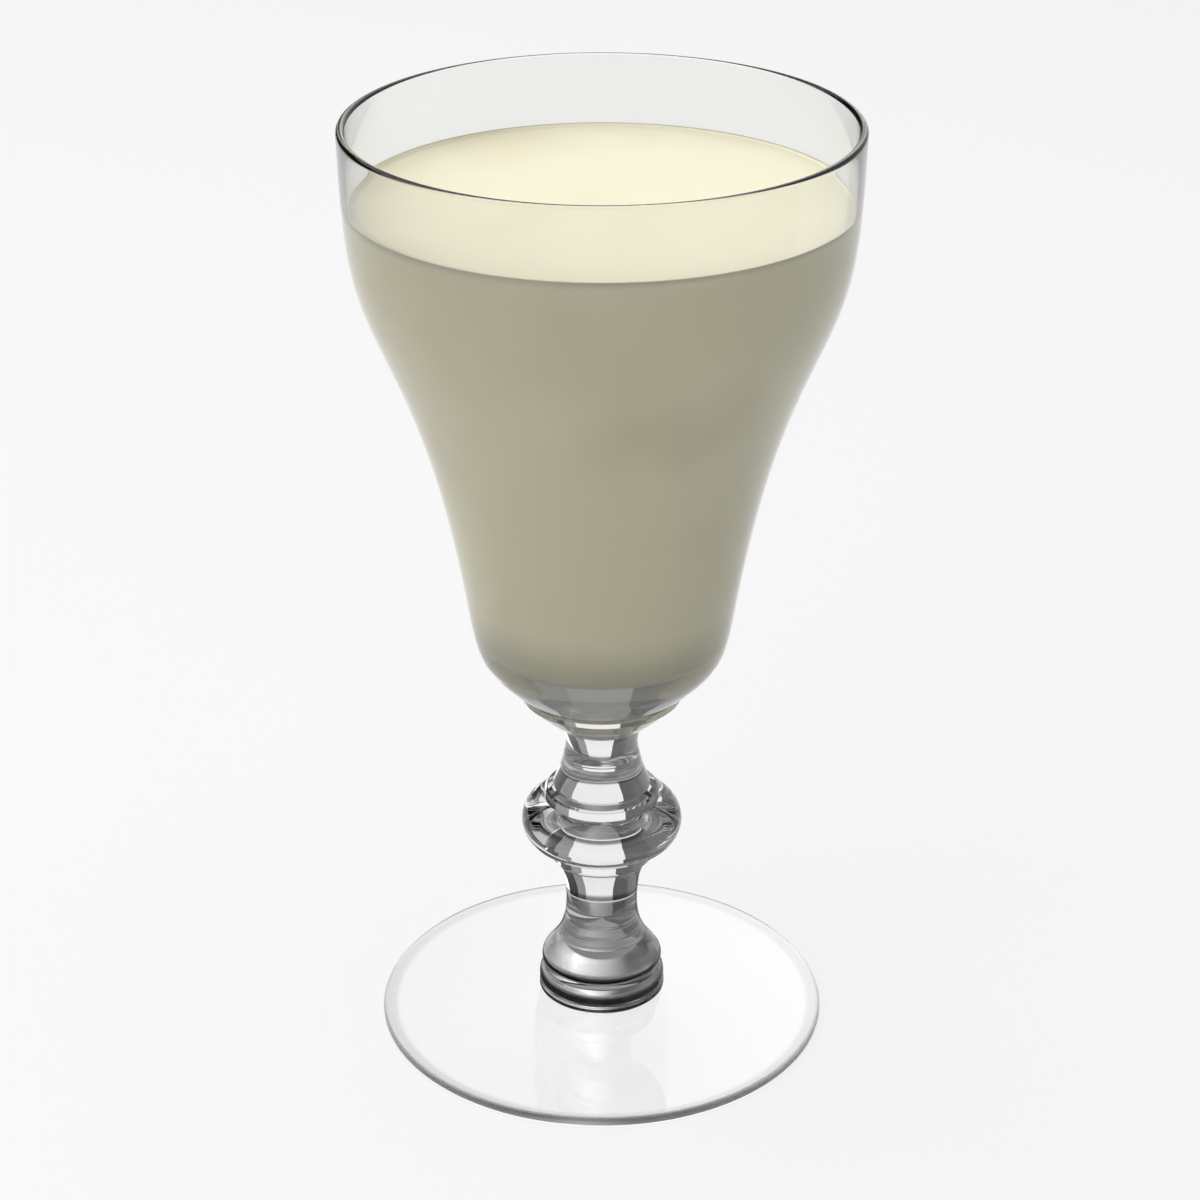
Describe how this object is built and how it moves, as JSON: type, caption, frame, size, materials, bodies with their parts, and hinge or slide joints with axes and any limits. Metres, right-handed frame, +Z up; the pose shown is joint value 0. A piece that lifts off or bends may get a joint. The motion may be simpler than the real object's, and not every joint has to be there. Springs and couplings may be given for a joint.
{
  "type": "glass of eggnog",
  "caption": "Stemmed tulip glass with a ring knop and a flat round foot, filled with pale eggnog to just below the lip.",
  "frame": {"origin": "centre of the foot's underside, which is the lowest point of the glass", "axes": "+Z up along the axis that the glass and its stem are turned about; X and Y are level"},
  "size_m": [0.0822, 0.0822, 0.1599],
  "materials": {
    "clear_glass": "clear, colourless, fire-polished soda-lime glass",
    "eggnog": "opaque creamy pale yellow drink with a soft moist sheen"
  },
  "bodies": {
    "root": {"glass": "clear_glass", "eggnog": "eggnog"}
  },
  "joints": []
}
